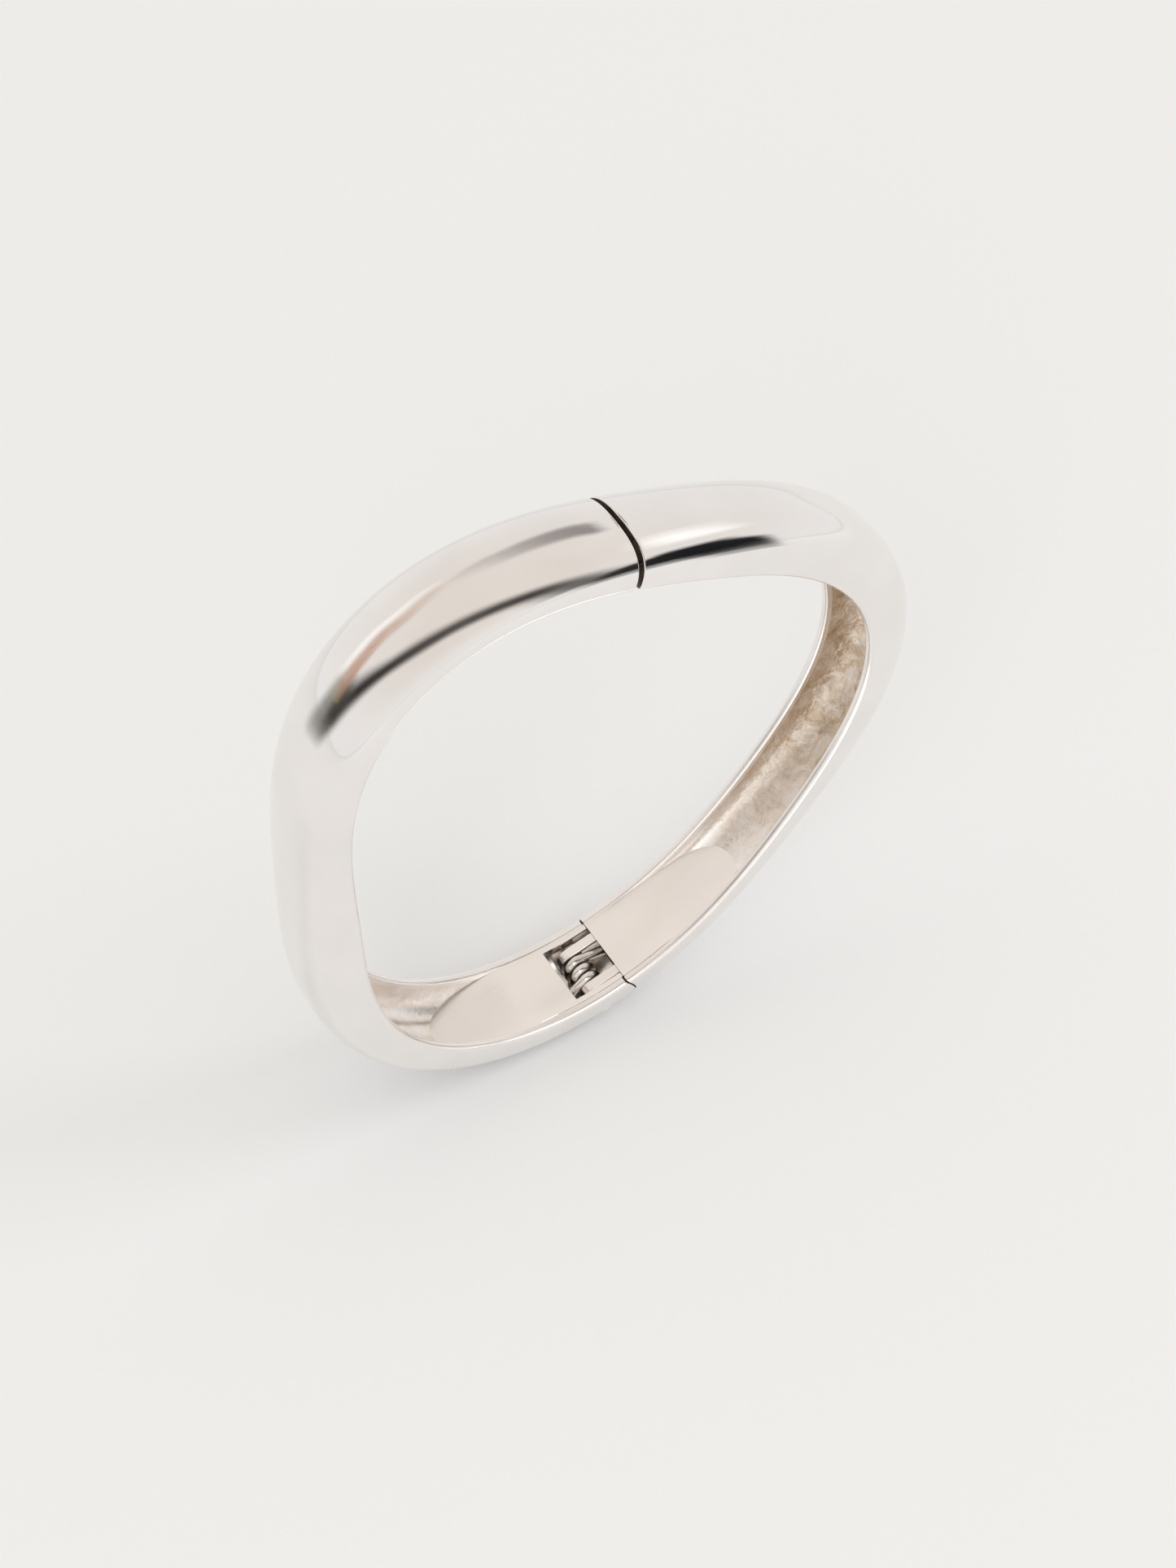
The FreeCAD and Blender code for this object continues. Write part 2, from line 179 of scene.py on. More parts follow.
class Shader:
    """Small helper that wires a node material."""

    def __init__(self, name):
        self.mat = bpy.data.materials.new(name)
        self.mat.use_nodes = True
        self.nodes = self.mat.node_tree.nodes
        self.links = self.mat.node_tree.links
        self.bsdf = self.nodes["Principled BSDF"]
        self.coord = self.nodes.new("ShaderNodeTexCoord").outputs["Object"]

    def noise(self, scale, detail=4.0, rough=0.5, distort=0.0):
        n = self.nodes.new("ShaderNodeTexNoise")
        n.inputs["Scale"].default_value = scale
        n.inputs["Detail"].default_value = detail
        n.inputs["Roughness"].default_value = rough
        n.inputs["Distortion"].default_value = distort
        self.links.new(self.coord, n.inputs["Vector"])
        return n.outputs["Fac"]

    def ramp(self, fac, stops):
        n = self.nodes.new("ShaderNodeValToRGB")
        while len(n.color_ramp.elements) < len(stops):
            n.color_ramp.elements.new(0.5)
        for e, (pos, col) in zip(n.color_ramp.elements, stops):
            e.position = pos
            e.color = (*col, 1.0)
        self.links.new(fac, n.inputs["Fac"])
        return n.outputs["Color"]

    def span(self, fac, low, high, start=0.0, end=1.0):
        n = self.nodes.new("ShaderNodeMapRange")
        n.inputs["From Min"].default_value = start
        n.inputs["From Max"].default_value = end
        n.inputs["To Min"].default_value = low
        n.inputs["To Max"].default_value = high
        self.links.new(fac, n.inputs["Value"])
        return n.outputs["Result"]

    def math(self, kind, a, b):
        n = self.nodes.new("ShaderNodeMath")
        n.operation = kind
        for socket, value in ((n.inputs[0], a), (n.inputs[1], b)):
            if isinstance(value, (int, float)):
                socket.default_value = value
            else:
                self.links.new(value, socket)
        return n.outputs["Value"]

    def bump(self, height_socket, distance, strength=1.0, normal=None):
        n = self.nodes.new("ShaderNodeBump")
        n.inputs["Distance"].default_value = distance
        n.inputs["Strength"].default_value = strength
        self.links.new(height_socket, n.inputs["Height"])
        if normal is not None:
            self.links.new(normal, n.inputs["Normal"])
        return n.outputs["Normal"]

    def set(self, **values):
        for key, value in values.items():
            socket = self.bsdf.inputs[key.replace("_", " ")]
            if isinstance(value, bpy.types.NodeSocket):
                self.links.new(value, socket)
            else:
                socket.default_value = value


def polished(name, tint, rough_low, rough_high):
    """Mirror plating: faint clouding, hairline polishing marks and a breath of waviness."""
    s = Shader(name)
    cloud = s.noise(130.0, 3.0, 0.5)
    hair = s.nodes.new("ShaderNodeTexNoise")
    stretch = s.nodes.new("ShaderNodeMapping")
    stretch.inputs["Scale"].default_value = (900.0, 9000.0, 900.0)
    s.links.new(s.coord, stretch.inputs["Vector"])
    s.links.new(stretch.outputs["Vector"], hair.inputs["Vector"])
    hair.inputs["Scale"].default_value = 1.0
    hair.inputs["Detail"].default_value = 2.0
    light = tuple(min(1.0, c * 1.015) for c in tint)
    dark = tuple(c * 0.975 for c in tint)
    marks = s.math("ADD", s.span(hair.outputs["Fac"], rough_low, rough_high, 0.35, 0.7),
                   s.span(cloud, -0.015, 0.015, 0.35, 0.65))
    s.set(Base_Color=s.ramp(cloud, [(0.35, dark), (0.65, light)]), Metallic=1.0, Roughness=marks)
    wave = s.noise(60.0, 2.0, 0.4)
    s.set(Normal=s.bump(wave, 0.00002, 0.25))
    return s.mat


def cast_inside(name):
    """The hidden side of the casting: plated but left rough, mottled grey-brown, turning lighter
    and smoother near the hinge; the lighter tone is also painted light at the top and over the
    left half, lifting the channel's shade.
    """
    s = Shader(name)
    blotch = s.noise(420.0, 8.0, 0.68, 0.8)
    grain = s.noise(1500.0, 5.0, 0.6)
    warm = s.ramp(blotch, [(0.34, (0.50, 0.38, 0.27)), (0.47, (0.70, 0.58, 0.46)),
                           (0.56, (0.80, 0.71, 0.62)), (0.70, (0.93, 0.88, 0.84))])
    # lighter tone: used near the hinge, and as painted light at the top of the channel and over
    # the left half, lifting the shade there
    clean_and_painted_lift_tone = s.ramp(blotch, [(0.35, (0.84, 0.76, 0.69)), (0.65, (0.95, 0.92, 0.90))])
    split = s.nodes.new("ShaderNodeSeparateXYZ")
    s.links.new(s.coord, split.inputs["Vector"])
    blend = s.nodes.new("ShaderNodeMixRGB")
    low_part = s.span(split.outputs["Z"], 0.0, 1.0, -0.024, -0.012)
    # painted light: above this height the channel takes the lighter tone, lifting its shade
    painted_lift_at_top = s.span(split.outputs["Z"], 1.0, 0.0, 0.021, 0.026)
    # painted light: on the left half the channel mostly takes the lighter tone, lifting its shade
    painted_lift_on_left = s.span(split.outputs["X"], 0.15, 1.0, -0.019, 0.0)
    rough_part_with_painted_lift = s.math("MULTIPLY", s.math("MULTIPLY", low_part, painted_lift_at_top), painted_lift_on_left)
    s.links.new(rough_part_with_painted_lift, blend.inputs["Fac"])
    s.links.new(clean_and_painted_lift_tone, blend.inputs["Color1"])
    s.links.new(warm, blend.inputs["Color2"])
    s.set(Base_Color=blend.outputs["Color"], Metallic=0.85,
          Roughness=s.math("MULTIPLY", s.span(blotch, 0.26, 0.46, 0.3, 0.7),
                           s.span(rough_part_with_painted_lift, 0.6, 1.0, 0.0, 0.6)))
    relief = s.span(rough_part_with_painted_lift, 0.12, 1.0, 0.0, 0.8)
    low = s.bump(s.math("MULTIPLY", s.noise(520.0, 5.0, 0.6, 0.5), relief), 0.00030, 1.0)
    s.set(Normal=s.bump(s.math("MULTIPLY", grain, relief), 0.00008, 0.9, low))
    return s.mat


def satin_rim(name):
    """Rims that rest on the wrist: the same plating, buffed softer by wear."""
    s = Shader(name)
    cloud = s.noise(240.0, 4.0, 0.55)
    s.set(Base_Color=s.ramp(cloud, [(0.35, (0.885, 0.850, 0.825)), (0.65, (0.925, 0.895, 0.872))]),
          Metallic=1.0, Roughness=s.span(cloud, 0.20, 0.29, 0.3, 0.7))
    s.set(Normal=s.bump(s.noise(1100.0, 4.0, 0.6), 0.000008, 0.5))
    return s.mat


def joint_face(name):
    """Faces where the halves meet: dark brown and fairly rough, so the narrow gap between them
    reads dark.
    """
    s = Shader(name)
    tone = s.ramp(s.noise(900.0, 4.0), [(0.35, (0.06, 0.035, 0.025)), (0.7, (0.20, 0.14, 0.11))])
    s.set(Base_Color=tone, Metallic=0.6, Roughness=s.span(s.noise(1800.0), 0.4, 0.6, 0.3, 0.7))
    s.set(Normal=s.bump(s.noise(2200.0, 4.0), 0.00003, 0.6))
    return s.mat


def spring_wire(name):
    """Drawn wire: fine rings of grain across its length and a slightly darker colour."""
    s = Shader(name)
    grain = s.noise(2600.0, 3.0, 0.5)
    tone = s.ramp(s.noise(500.0, 3.0), [(0.35, (0.78, 0.74, 0.70)), (0.7, (0.91, 0.88, 0.85))])
    s.set(Base_Color=tone, Metallic=1.0, Roughness=s.span(grain, 0.14, 0.26, 0.3, 0.7))
    s.set(Normal=s.bump(grain, 0.000012, 0.5))
    return s.mat


PLATE = polished("polished_plate", (0.905, 0.880, 0.862), 0.055, 0.085)
HINGE_METAL = polished("hinge_metal", (0.925, 0.885, 0.855), 0.17, 0.24)
CAST = cast_inside("cast_inside")
WIRE = spring_wire("spring_steel")
DARK_JOINT_FACE = joint_face("joint_face")
SATIN = satin_rim("satin_rim")

# ---- half shells ---------------------------------------------------------------------------

SQUARE = 2.65        # exponent of the domed outside
HOLLOW_SQUARE = 2.5  # and of the hollow inside
CREST = 120          # points over the dome
FLOOR = 72           # points over the hollow inside
ROUND = 7            # points round each rim edge
SHELL_STEPS = 560    # stations along a half
OUTER_ROUND = 0.45
INNER_ROUND = 0.30
END_ROUND = 0.10
COARSE_BUMP, FINE_BUMP = 0.055, 0.022    # height of the casting's unevenness
SMOOTH_RUN, ROUGHER_RUN = 20.0, 12.0     # it starts this far from the hinge and grows over this


def even_curve(across, out, count):
    """The same curve with evenly spaced points."""
    step = np.hypot(np.diff(across), np.diff(out))
    run = np.concatenate([[0.0], np.cumsum(step)])
    at = np.linspace(0.0, run[-1], count)
    return np.interp(at, run, across), np.interp(at, run, out)


def section(t):
    """One closed loop of (across, out) in mm."""
    half = float(width(t)) / 2.0
    top = float(height(t))
    u = np.linspace(-PI / 2, PI / 2, 1201)
    across = half * np.sign(np.sin(u)) * np.abs(np.sin(u)) ** (2 / SQUARE)
    out = OUTER_ROUND + (top - OUTER_ROUND) * np.cos(u).clip(0) ** (2 / SQUARE)
    dome = even_curve(across, out, CREST)
    a = np.linspace(0, PI / 2, ROUND + 1)[1:]
    rim_a = half - OUTER_ROUND * (1 - np.cos(a))
    rim_o = OUTER_ROUND * (1 - np.sin(a))
    b = np.linspace(0, PI / 2, ROUND)
    lip = half - RIM
    lip_a = lip + INNER_ROUND * (1 - np.sin(b))
    lip_o = INNER_ROUND * (1 - np.cos(b))
    depth = top - WALL
    v = np.linspace(PI / 2, -PI / 2, 801)
    inner_a = lip * np.sign(np.sin(v)) * np.abs(np.sin(v)) ** (2 / HOLLOW_SQUARE)
    inner_o = INNER_ROUND + (depth - INNER_ROUND) * np.cos(v).clip(0) ** (2 / HOLLOW_SQUARE)
    hollow = even_curve(inner_a, inner_o, FLOOR)
    across = np.concatenate([dome[0], rim_a, lip_a, hollow[0][1:-1],
                             -lip_a[::-1], -rim_a[::-1]])
    out = np.concatenate([dome[1], rim_o, lip_o, hollow[1][1:-1], lip_o[::-1], rim_o[::-1]])
    return across, out


def loop_inward(across, out):
    """Unit vectors square to the loop, pointing into the metal."""
    da = np.roll(across, -1) - np.roll(across, 1)
    do = np.roll(out, -1) - np.roll(out, 1)
    size = np.maximum(np.hypot(da, do), 1e-9)
    return do / size, -da / size


def joint_reach(out, radius_mm):
    """How far right of the joint line the round joint face lies, at a depth below the rim."""
    return PIN_X + np.sqrt(np.maximum(radius_mm ** 2 - (PIN_DEPTH - out) ** 2, 0.01))


def casting_noise(t, across, scale, seed):
    """Smooth seeded bumps over the hollow: a sum of waves in random directions."""
    rng = np.random.default_rng(seed)
    total = np.zeros_like(across)
    for k in range(26):
        size = scale * rng.uniform(0.6, 2.2)
        turn = rng.uniform(0, 2 * PI)
        total += np.sin((t * 28.0 * math.cos(turn) + across * math.sin(turn)) * size
                        + rng.uniform(0, 2 * PI)) / 26 ** 0.5
    return total


def joint_web(across, out):
    """Fine triangles over the round joint face: new (across, out) points, and the faces."""
    size = len(across)
    outer = np.r_[size - ROUND:size, 0:CREST + ROUND]
    inner = np.r_[CREST + ROUND:size - ROUND][::-1]
    at = np.linspace(0.02, 0.98, 110)
    chains = [np.stack([np.interp(at, np.linspace(0, 1, len(c)), values[c])
                        for values in (across, out)], axis=1) for c in (outer, inner)]
    extra = np.concatenate([chains[0] * (1 - k) + chains[1] * k for k in (0.3, 0.55, 0.8)])
    points = [Vector(p) for p in np.concatenate([np.stack([across, out], axis=1), extra])]
    _, _, triangles, origin, _, _ = delaunay_2d_cdt(points, [], [list(range(size))], 1, 1e-6)
    first = [min(group) for group in origin]
    return extra, [[first[v] for v in triangle] for triangle in triangles]


def half_shell(name, start, sign, joint_radius, seed):
    """sign is +1 where t grows from the clasp to the hinge, and -1 on the other half."""
    sections = []
    for i in range(SHELL_STEPS + 1):
        f = i / SHELL_STEPS
        across, out = section(start + (PI - start) * f)
        sections.append((f, across, out, *loop_inward(across, out)))
    # each row is (share of the run, mm on from there, inset of the loop, section), and both
    # ends are rounded over by END_ROUND
    quarter = [k / 5 * PI / 2 for k in range(5)]
    rounded = [(END_ROUND * (1 - math.cos(a)), END_ROUND * (1 - math.sin(a))) for a in quarter]
    rows = [(0.0, ahead, inset, sections[0]) for ahead, inset in rounded]
    rows.append((0.0, END_ROUND, 0.0, sections[0]))
    rows += [(item[0], 0.0, 0.0, item) for item in sections[1:-1]]
    rows.append((1.0, -END_ROUND, 0.0, sections[-1]))
    rows += [(1.0, -ahead, inset, sections[-1]) for ahead, inset in rounded[::-1]]

    size = len(sections[0][1])
    first_floor = CREST + 2 * ROUND + 2
    hollow = np.zeros(size, bool)
    hollow[first_floor:first_floor + FLOOR - 6] = True
    span = np.arange(hollow.sum())
    fade = np.zeros(size)
    fade[hollow] = np.clip(np.minimum(span, span[::-1]) / 8.0, 0, 1)
    points = []
    for f, shift, inset, (_, across, out, in_across, in_out) in rows:
        a = across + in_across * inset
        o = out + in_out * inset
        end = PI - joint_reach(out, joint_radius) / RUN
        t = start + (end - start) * f + sign * shift / RUN
        rough = np.clip((np.abs(t - PI) * RUN - SMOOTH_RUN) / ROUGHER_RUN, 0, 1)
        bump = (casting_noise(t, a, 1.5, seed) * COARSE_BUMP
                + casting_noise(t, a, 4.5, seed + 1) * FINE_BUMP)
        end_fade = min(1.0, min(f, 1 - f) * 60)
        points.append(on_band(t, a, o + bump * rough * fade * end_fade) * MM)
    verts = np.concatenate(points)
    count = len(points)

    faces, index = [], []
    for i in range(count - 1):
        for j in range(size):
            k = (j + 1) % size
            faces.append((i * size + j, i * size + k, (i + 1) * size + k, (i + 1) * size + j))
            rim = CREST - 1 <= j < first_floor or j >= first_floor + FLOOR - 7
            index.append(1 if hollow[j] or hollow[k] else 3 if rim else 0)
    sides = len(faces)
    faces.append(tuple(range(size)))
    _, across, out, in_across, in_out = sections[-1]
    web, web_faces = joint_web(across + in_across * END_ROUND, out + in_out * END_ROUND)
    reach = joint_reach(web[:, 1], joint_radius)
    verts = np.concatenate([verts, on_band(PI - reach / RUN, web[:, 0], web[:, 1]) * MM])
    faces += [[(count - 1) * size + v for v in face] for face in web_faces]
    index += [2] * (len(faces) - sides)
    obj = add_mesh(name, verts, faces, [PLATE, CAST, DARK_JOINT_FACE, SATIN], True, index)
    face_out(obj)
    for polygon in list(obj.data.polygons)[sides:]:
        polygon.use_smooth = False
    return obj


gap_turn = CLASP_GAP / 2.0 / float(radius(0.0))
left_shell = half_shell("left_half_shell_skin", 2 * PI - gap_turn, -1, LEFT_JOINT_R, 11)
right_shell = half_shell("right_half_shell_skin", gap_turn, 1, RIGHT_JOINT_R, 23)
settle(left_shell, "left_half", "polished_plate", "left_half_shell")
settle(right_shell, "right_half", "polished_plate", "right_half_shell")

# ---- inner plates --------------------------------------------------------------------------


def inner_plate(name, ends, window, joint_radius, bend):
    """Pressed plate between the rims, dished across and bent down into the channel at its end.

    ends: mm from the hinge's joint line; the end nearer that line is the round joint face.
    window: (near end, half width) of the spring window, or None.
    """
    low, high = ends
    cols = sorted(set(np.round(np.concatenate([
        np.arange(low, high, 0.18), [high], [window[0]] if window else []]), 4)))
    joint = len(cols) - 1 if abs(high) < abs(low) else 0
    lanes = np.sin(np.linspace(-PI / 2, PI / 2, 61))
    hinge_half = float(width(PI)) / 2 - RIM + TUCK
    if window:
        share = window[1] / hinge_half
        kept = lanes[np.abs(np.abs(lanes) - share) > 0.02]
        lanes = np.array(sorted([*kept, -share, share]))
    bend_turn, bend_power = bend
    grid, verts, faces = {}, [], []
    for layer in (0, 1):
        for i, x in enumerate(cols):
            t = PI - x / RUN
            bent = float(np.clip((abs(x) / RUN - PLATE_TURN + bend_turn) / bend_turn, 0, 1))
            deep = (float(height(t)) - WALL + 0.1) * bent ** bend_power
            half = float(width(t)) / 2 - RIM + TUCK
            calm = min(1.0, abs(x - cols[joint]) / 2.5) * min(1.0, (1 - bent) * 2)
            for j, lane in enumerate(lanes):
                inner = 1 - abs(lane) ** 6
                out = (PLATE_DROP + DISH * calm * (1 - lane * lane)) * inner + deep
                if layer:
                    out += PLATE_THICK * (1 - bent) + 0.1
                across = lane * half
                if window and x > window[0] - 0.5 and abs(abs(across) - window[1]) < 0.05:
                    across = math.copysign(window[1], lane)
                reach = float(joint_reach(out, joint_radius)) if i == joint else x
                grid[layer, i, j] = len(verts)
                verts.append(on_band(np.array(PI - reach / RUN), across, out) * MM)
    cells = set()
    for i in range(len(cols) - 1):
        for j in range(len(lanes) - 1):
            middle = abs(lanes[j] + lanes[j + 1]) / 2 * hinge_half
            if not (window and cols[i] >= window[0] - 1e-6 and middle < window[1]):
                cells.add((i, j))
    for i, j in cells:
        for layer in (0, 1):
            q = [grid[layer, i, j], grid[layer, i + 1, j], grid[layer, i + 1, j + 1],
                 grid[layer, i, j + 1]]
            faces.append(q if layer else q[::-1])
        for di, dj, a, b in ((-1, 0, (i, j), (i, j + 1)), (1, 0, (i + 1, j), (i + 1, j + 1)),
                             (0, -1, (i, j), (i + 1, j)), (0, 1, (i, j + 1), (i + 1, j + 1))):
            if (i + di, j + dj) not in cells:
                faces.append([grid[(0, *a)], grid[(0, *b)], grid[(1, *b)], grid[(1, *a)]])
    used = sorted({v for f in faces for v in f})
    renumber = {v: k for k, v in enumerate(used)}
    obj = add_mesh(name, [verts[v] for v in used],
                   [[renumber[v] for v in f] for f in faces], [HINGE_METAL])
    face_out(obj)
    column = {renumber[v]: i for (_, i, _), v in grid.items() if v in renumber}
    # round the joint edge in full, and the other edges of the flat part a little
    weight = obj.data.attributes.new("bevel_weight_edge", "FLOAT", "EDGE")
    flat = {i for i, x in enumerate(cols) if abs(x) < 7.0}
    weight.data.foreach_set("value", [
        1.0 if column[e.vertices[0]] == column[e.vertices[1]] == joint else
        0.30 if column[e.vertices[0]] in flat else 0.0 for e in obj.data.edges])
    bevel = soften(obj, 0.30, 5, 50)
    bevel.limit_method = "WEIGHT"
    keep_sharp_only(obj, weight, math.radians(50))
    return obj


left_plate = inner_plate("left_hinge_plate_skin", (-PLATE_TURN * RUN, 0.2),
                         (PIN_X - WINDOW_REACH, WINDOW_HALF), LEFT_JOINT_R, LEFT_BEND)
right_plate = inner_plate("right_hinge_plate_skin", (0.3, PLATE_TURN * RUN), None,
                          RIGHT_JOINT_R, RIGHT_BEND)
settle(left_plate, "left_half", "hinge_metal", "left_hinge_plate")
settle(right_plate, "right_half", "hinge_metal", "right_hinge_leaf")


def prism(name, near, far, material):
    """Closed piece between two matching outlines."""
    n = len(near)
    faces = [list(range(n)), list(range(2 * n - 1, n - 1, -1))]
    faces += [[i, (i + 1) % n, n + (i + 1) % n, n + i] for i in range(n)]
    obj = add_mesh(name, [*near, *far], faces, [material])
    face_out(obj)
    return obj


def lug(name, centre):
    """Round-ended ear of the right leaf, with the arm that joins it to the plate."""
    pts = []
    for a in np.linspace(math.radians(90), math.radians(330), 44):
        pts.append((PIN_X + LUG_R * math.cos(a), -PIN_DEPTH + LUG_R * math.sin(a)))
    pts.append((PIN_X + 1.25, -PIN_DEPTH + ARM_UNDER))
    pts.append((PIN_X + ARM_REACH, -PIN_DEPTH + ARM_UNDER))
    pts.append((PIN_X + ARM_REACH, -PIN_DEPTH + LUG_R))
    near, far = ([from_hinge(x, centre + side * LUG_THICK / 2, z) for x, z in pts]
                 for side in (-1, 1))
    obj = prism(name, near, far, HINGE_METAL)
    soften(obj, 0.16, 4, 40)
    return obj


LUG_CENTRE = (LUG_SPACING + LUG_THICK) / 2
for label, centre in (("front", -LUG_CENTRE), ("rear", LUG_CENTRE)):
    settle(lug("hinge_lug_" + label, centre), "right_half", "hinge_metal")

# ---- pin, spring and caps --------------------------------------------------------------------


def turned_pin(name):
    """Pin with peened, slightly domed heads."""
    profile = [(0.0, 4.56), (0.18, 4.555), (0.30, 4.53), (0.37, 4.48), (PIN_R, 4.40),
               (PIN_R, 2.0), (PIN_R, 0.0)]
    profile += [(r, -y) for r, y in profile[-2::-1]]
    count = 48
    verts = []
    for r, y in profile:
        for k in range(count):
            a = 2 * PI * k / count
            verts.append(from_hinge(PIN_X + r * math.cos(a), y, -PIN_DEPTH + r * math.sin(a)))
    faces = []
    for i in range(len(profile) - 1):
        for k in range(count):
            m = (k + 1) % count
            faces.append([i * count + k, i * count + m, (i + 1) * count + m, (i + 1) * count + k])
    obj = add_mesh(name, verts, faces, [HINGE_METAL])
    bm = bmesh.new()
    bm.from_mesh(obj.data)
    bmesh.ops.remove_doubles(bm, verts=bm.verts, dist=1e-7)
    bmesh.ops.recalc_face_normals(bm, faces=bm.faces)
    bm.to_mesh(obj.data)
    bm.free()
    return obj


settle(turned_pin("hinge_pin_turned"), "left_half", "hinge_metal", "hinge_pin")


def wire_spring(name):
    """Two turns round the pin; both legs run out under the plates."""
    slope = math.radians(20.0)
    start, total = PI / 2 - slope, 4 * PI + 2 * slope
    end = start + total
    tall = COIL_PITCH * total / (2 * PI)
    first, last = ((COIL_R * math.cos(a), COIL_R * math.sin(a)) for a in (start, end))
    pts = [(first[0] + leg * math.sin(start), tall / 2, first[1] - leg * math.cos(start))
           for leg in (3.3, 0.5)]
    steps = 110
    for k in range(steps + 1):
        a = start + total * k / steps
        pts.append((COIL_R * math.cos(a), tall / 2 - tall * k / steps, COIL_R * math.sin(a)))
    pts += [(last[0] - leg * math.sin(end), -tall / 2, last[1] + leg * math.cos(end))
            for leg in (0.5, 3.3)]
    curve = bpy.data.curves.new(name, "CURVE")
    curve.dimensions = "3D"
    curve.bevel_depth = WIRE_R * MM
    curve.bevel_resolution = 8
    curve.use_fill_caps = True
    spline = curve.splines.new("POLY")
    spline.points.add(len(pts) - 1)
    for p, (x, y, z) in zip(spline.points, pts):
        p.co = (*from_hinge(PIN_X + x, y, -PIN_DEPTH + z), 1.0)
    spline.use_smooth = True
    curve.materials.append(WIRE)
    obj = bpy.data.objects.new(name, curve)
    bpy.context.collection.objects.link(obj)
    return obj


settle(wire_spring("torsion_spring_wire"), "left_half", "spring_steel", "torsion_spring")


def end_cap(name, sign):
    """Thin plate let into the hollow end beside the clasp gap."""
    t0 = gap_turn if sign > 0 else 2 * PI - gap_turn
    half = float(width(t0)) / 2 - RIM - CAP_PLAY
    depth = float(height(t0)) - WALL - CAP_PLAY
    v = np.linspace(-PI / 2, PI / 2, 801)
    a = half * np.sign(np.sin(v)) * np.abs(np.sin(v)) ** (2 / HOLLOW_SQUARE)
    o = PLATE_DROP + (depth - PLATE_DROP) * np.cos(v).clip(0) ** (2 / HOLLOW_SQUARE)
    a, o = even_curve(a, o, 60)
    near, far = (on_band(np.full(len(a), t0 + sign * behind / float(radius(0.0))), a, o) * MM
                 for behind in (0.0, CAP_THICK))
    obj = prism(name, near, far, PLATE)
    soften(obj, 0.08, 3, 50)
    return obj


settle(end_cap("left_end_cap_plate", -1), "left_half", "polished_plate", "left_end_cap")
settle(end_cap("right_end_cap_plate", 1), "right_half", "polished_plate", "right_end_cap")

# ---- studio ----------------------------------------------------------------------------------

scene = bpy.context.scene
scene.view_settings.view_transform = "Standard"
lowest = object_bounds()[0].z

floor_mat = Shader("pale_floor")
tones = floor_mat.ramp(floor_mat.noise(3.0, 2.0),
                       [(0.3, (0.905, 0.928, 0.945)), (0.7, (0.920, 0.943, 0.960))])
floor_mat.set(Base_Color=tones, Roughness=0.9, Specular_IOR_Level=0.1)
FLOOR_HALF = 3.0
corners = [(x * FLOOR_HALF, y * FLOOR_HALF, lowest)
           for x, y in ((-1, -1), (1, -1), (1, 1), (-1, 1))]
floor = add_mesh("floor", corners, [(0, 1, 2, 3)], [floor_mat.mat], False)


def reflection_card(name, colour, stops, smooth_share=0.5, strength=1.0):
    """Soft-edged band in the tent, seen only in the metal.

    stops: (x, y, z, half width, cover) in mm, cover running from 0 clear to 1 solid.
    """
    spots = np.array([s[:3] for s in stops], float)
    at = np.arange(len(stops))
    fine = np.linspace(0, len(stops) - 1, (len(stops) - 1) * 14 + 1)
    path = np.stack([np.interp(fine, at, spots[:, k]) for k in range(3)], axis=1)
    kernel = np.ones(9) / 9
    padded = np.concatenate([np.repeat(path[:1], 4, 0), path, np.repeat(path[-1:], 4, 0)])
    path = np.stack([np.convolve(padded[:, k], kernel, "valid") for k in range(3)], axis=1)
    half = np.interp(fine, at, [s[3] for s in stops])
    cover = np.interp(fine, at, [s[4] for s in stops])
    along = np.gradient(path, axis=0)
    along /= np.linalg.norm(along, axis=1, keepdims=True)
    ray = path - np.array([0.0, 0.0, 15.0])
    ray /= np.linalg.norm(ray, axis=1, keepdims=True)
    side = np.cross(ray, along)
    side /= np.linalg.norm(side, axis=1, keepdims=True)
    lanes = np.linspace(-1, 1, 17)
    verts, alpha = [], []
    for i in range(len(fine)):
        for lane in lanes:
            verts.append((path[i] + side[i] * half[i] * lane) * MM)
            edge = min(1.0, (1 - abs(lane)) / smooth_share)
            alpha.append(cover[i] * edge * edge * (3 - 2 * edge))
    n = len(lanes)
    faces = [(i * n + j, i * n + j + 1, (i + 1) * n + j + 1, (i + 1) * n + j)
             for i in range(len(fine) - 1) for j in range(n - 1)]
    mat = bpy.data.materials.new(name)
    mat.use_nodes = True
    nodes, links = mat.node_tree.nodes, mat.node_tree.links
    nodes.clear()
    output = nodes.new("ShaderNodeOutputMaterial")
    mix = nodes.new("ShaderNodeMixShader")
    clear = nodes.new("ShaderNodeBsdfTransparent")
    glow = nodes.new("ShaderNodeEmission")
    glow.inputs["Color"].default_value = (*colour, 1.0)
    glow.inputs["Strength"].default_value = strength
    weight = nodes.new("ShaderNodeAttribute")
    weight.attribute_name = "cover"
    links.new(weight.outputs["Fac"], mix.inputs["Fac"])
    links.new(clear.outputs["BSDF"], mix.inputs[1])
    links.new(glow.outputs["Emission"], mix.inputs[2])
    links.new(mix.outputs["Shader"], output.inputs["Surface"])
    card = add_mesh(name, verts, faces, [mat])
    layer = card.data.attributes.new("cover", "FLOAT", "POINT")
    layer.data.foreach_set("value", np.array(alpha, np.float32))
    card.visible_camera = False
    card.visible_diffuse = False
    card.visible_shadow = False


